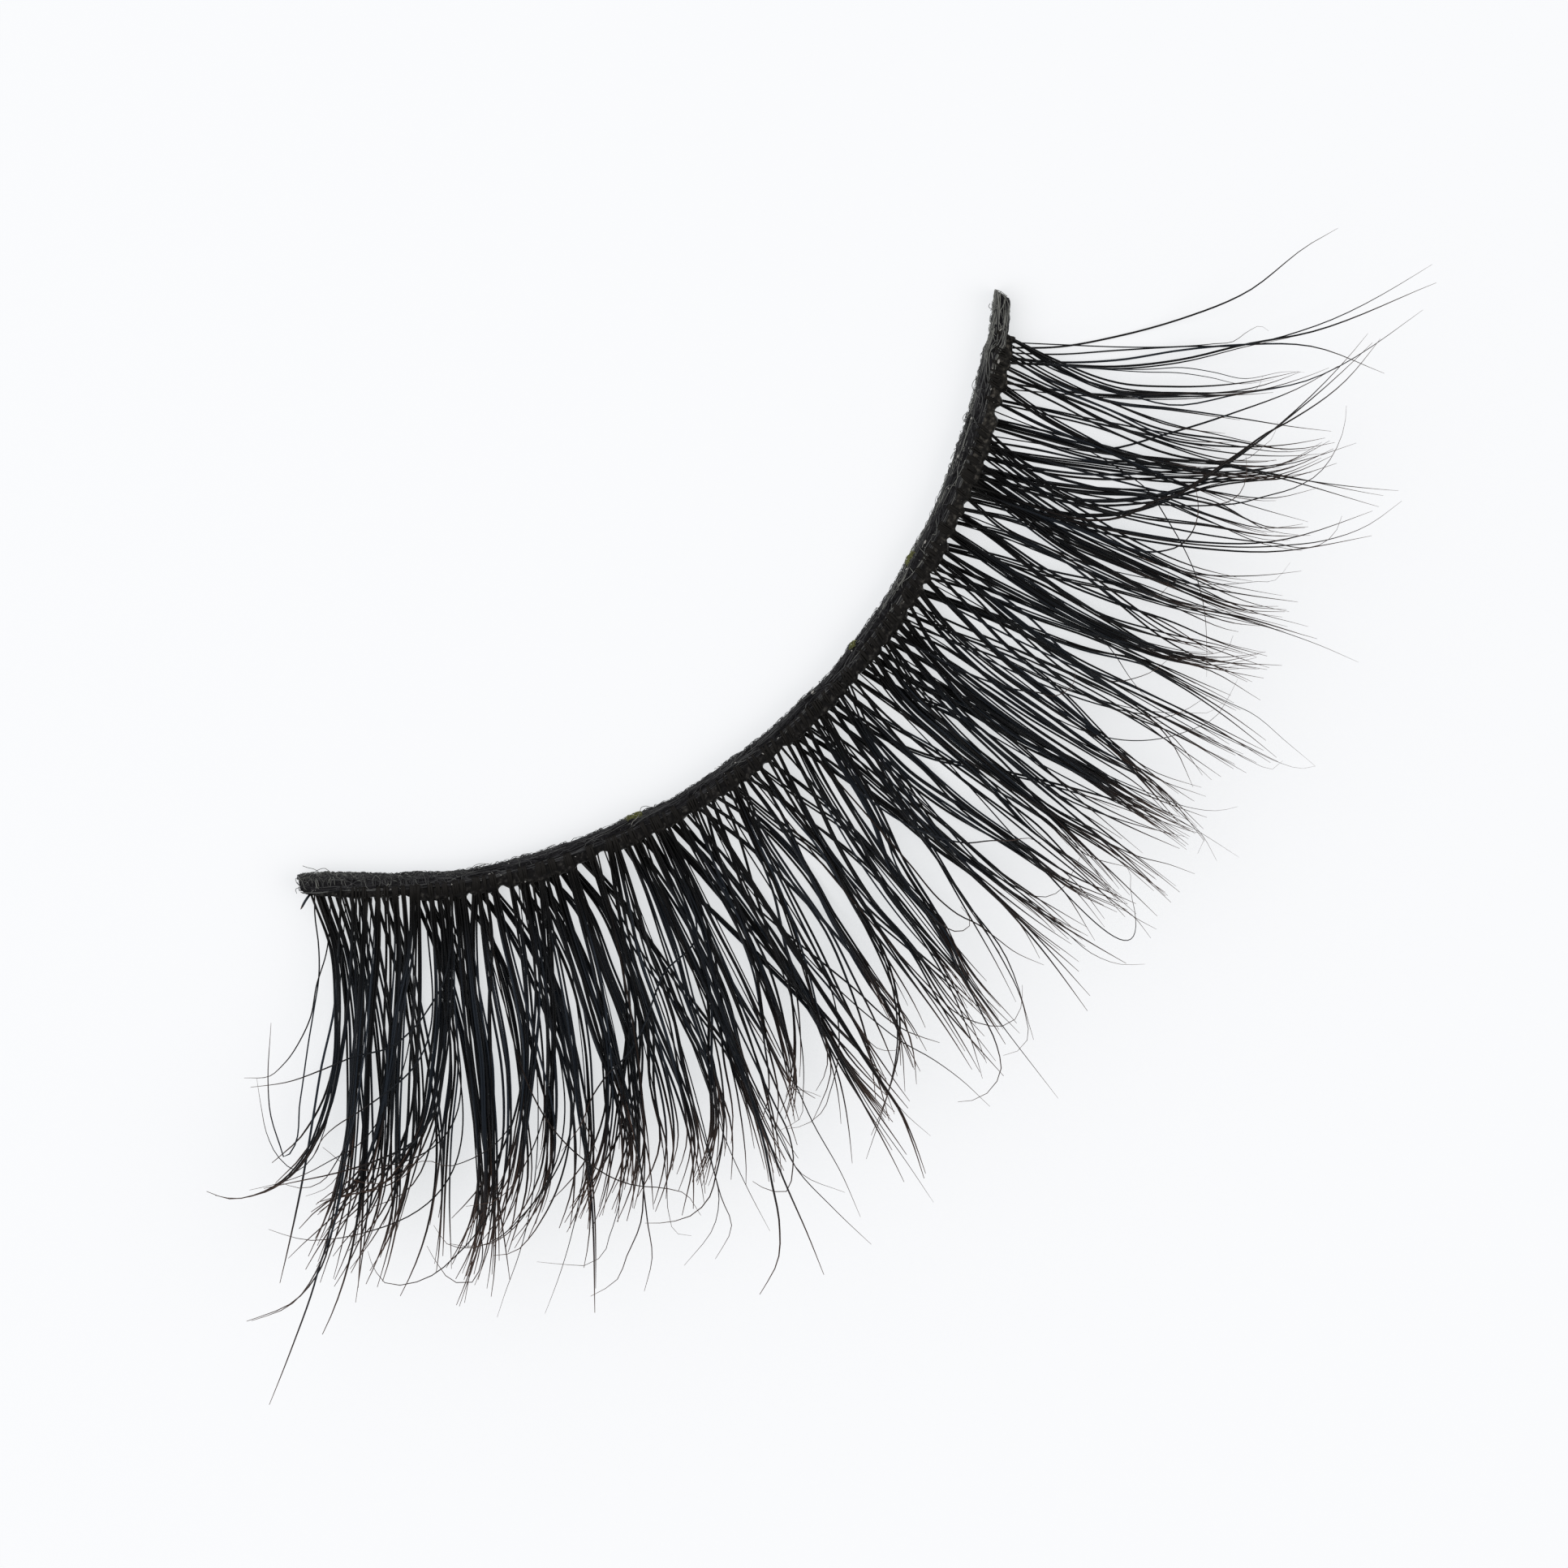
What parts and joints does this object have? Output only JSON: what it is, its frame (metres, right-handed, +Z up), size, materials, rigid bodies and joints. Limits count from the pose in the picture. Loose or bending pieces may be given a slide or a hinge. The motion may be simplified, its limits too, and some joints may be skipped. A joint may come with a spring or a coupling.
{
  "type": "false eyelash strip",
  "caption": "Curved false eyelash strip: a slim cotton band carrying crossing rows of curled, tapering lash locks that fan out and lift at their tips.",
  "frame": {"origin": "middle of the cotton band's underside, on the surface it rests on", "axes": "+X along the strip towards its bare stub, +Z up from the surface, lashes pointing to -Y and curling up"},
  "size_m": [0.0434, 0.0189, 0.0056],
  "materials": {
    "cotton": "matte black braided cotton with a little grey fuzz and dried glue",
    "lash_hair": "black synthetic hair with a satin blue-grey sheen, brown and fine at the tips"
  },
  "bodies": {
    "root": {"cotton_band": "cotton", "lower_lash_row": "lash_hair", "upper_lash_row": "lash_hair"}
  },
  "joints": []
}
